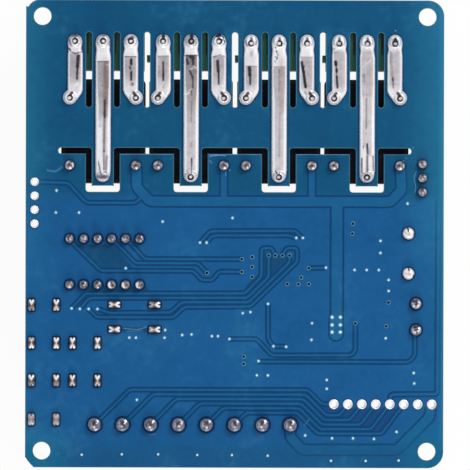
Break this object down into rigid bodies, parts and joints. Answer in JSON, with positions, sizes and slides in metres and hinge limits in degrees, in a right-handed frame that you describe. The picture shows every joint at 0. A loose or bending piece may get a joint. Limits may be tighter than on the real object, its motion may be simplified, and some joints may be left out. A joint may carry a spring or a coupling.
{
  "type": "relay module board",
  "caption": "Relay module board lying solder side up: routed board, solder bars, relays, screw terminals, display and push buttons.",
  "frame": {"origin": "middle of the board in plan, at the level of the relay tops that it rests on", "axes": "+Z out of the solder side, +X right and +Y up the board towards the relay outputs, as the solder side is looked at"},
  "size_m": [0.076, 0.085, 0.0187],
  "materials": {
    "solder_mask": "satin solder mask over glass fibre",
    "solder": "tin solder, bright and streaky",
    "tinned_pin": "tinned",
    "brass_contact": "plain brass",
    "relay_cover": "smooth moulding",
    "relay_base": "moulded",
    "copper_winding": "enamelled copper wire",
    "soft_iron": "plated",
    "green_housing": "moulded",
    "zinc_steel": "zinc plated",
    "display_case": "moulded, with a grey face",
    "display_segment": "milky resin",
    "black_plastic": "moulded",
    "ferrite": "sintered",
    "can_aluminium": "drawn",
    "sleeve": "shrunk sleeve",
    "bung": "rubber",
    "chip_resin": "moulded resin",
    "lamp_resin": "clear resin"
  },
  "bodies": {
    "module": {"board": "solder_mask", "button_housing_1": "black_plastic", "button_housing_2": "black_plastic", "button_housing_3": "black_plastic", "button_housing_4": "black_plastic", "button_joints": "solder", "button_legs": "tinned_pin", "button_plates": "zinc_steel", "capacitor_bung": "bung", "capacitor_can": "can_aluminium", "capacitor_sleeve": "sleeve", "choke_core": "ferrite", "choke_winding": "copper_winding", "controller_chip": "chip_resin", "display_housing": "display_case", "display_pins": "tinned_pin", "display_segments": "display_segment", "driver_parts": "chip_resin", "header_block": "black_plastic", "header_pins": "brass_contact", "indicator_lamps": "lamp_resin", "input_housing": "green_housing", "input_joints": "solder", "output_housing_1": "green_housing", "output_housing_2": "green_housing", "output_housing_3": "green_housing", "output_housing_4": "green_housing", "power_packages": "chip_resin", "relay_base_1": "relay_base", "relay_base_2": "relay_base", "relay_base_3": "relay_base", "relay_base_4": "relay_base", "relay_coil_1": "copper_winding", "relay_coil_2": "copper_winding", "relay_coil_3": "copper_winding", "relay_coil_4": "copper_winding", "relay_cover_1": "relay_cover", "relay_cover_2": "relay_cover", "relay_cover_3": "relay_cover", "relay_cover_4": "relay_cover", "relay_magnet_1": "soft_iron", "relay_magnet_2": "soft_iron", "relay_magnet_3": "soft_iron", "relay_magnet_4": "soft_iron", "relay_pins": "brass_contact", "round_leads": "tinned_pin", "small_joints": "solder", "solder_bars": "solder", "terminal_clamps": "zinc_steel", "terminal_pins": "tinned_pin", "terminal_screws": "zinc_steel"},
    "armature_1": {"relay_armature_1": "soft_iron"},
    "button_1": {"button_plunger_1": "black_plastic"},
    "armature_2": {"relay_armature_2": "soft_iron"},
    "button_2": {"button_plunger_2": "black_plastic"},
    "armature_3": {"relay_armature_3": "soft_iron"},
    "button_3": {"button_plunger_3": "black_plastic"},
    "armature_4": {"relay_armature_4": "soft_iron"},
    "button_4": {"button_plunger_4": "black_plastic"}
  },
  "joints": [
    {"name": "armature_1_pull", "type": "hinge", "parent": "module", "child": "armature_1", "pos_m": [-0.024, 0.01115, 0.00365], "axis": [1, 0, 0], "range_deg": [0, 1.5], "stiffness_Nm_per_rad": 0.15, "springref_deg": -1.15},
    {"name": "armature_2_pull", "type": "hinge", "parent": "module", "child": "armature_2", "pos_m": [-0.008, 0.01115, 0.00365], "axis": [1, 0, 0], "range_deg": [0, 1.5], "stiffness_Nm_per_rad": 0.15, "springref_deg": -1.15},
    {"name": "armature_3_pull", "type": "hinge", "parent": "module", "child": "armature_3", "pos_m": [0.008, 0.01115, 0.00365], "axis": [1, 0, 0], "range_deg": [0, 1.5], "stiffness_Nm_per_rad": 0.15, "springref_deg": -1.15},
    {"name": "armature_4_pull", "type": "hinge", "parent": "module", "child": "armature_4", "pos_m": [0.024, 0.01115, 0.00365], "axis": [1, 0, 0], "range_deg": [0, 1.5], "stiffness_Nm_per_rad": 0.15, "springref_deg": -1.15},
    {"name": "button_1_press", "type": "slide", "parent": "module", "child": "button_1", "axis": [0, 0, 1], "range_m": [0, 0.00025], "stiffness_N_per_m": 4000, "springref_m": -0.0001},
    {"name": "button_2_press", "type": "slide", "parent": "module", "child": "button_2", "axis": [0, 0, 1], "range_m": [0, 0.00025], "stiffness_N_per_m": 4000, "springref_m": -0.0001},
    {"name": "button_3_press", "type": "slide", "parent": "module", "child": "button_3", "axis": [0, 0, 1], "range_m": [0, 0.00025], "stiffness_N_per_m": 4000, "springref_m": -0.0001},
    {"name": "button_4_press", "type": "slide", "parent": "module", "child": "button_4", "axis": [0, 0, 1], "range_m": [0, 0.00025], "stiffness_N_per_m": 4000, "springref_m": -0.0001}
  ]
}
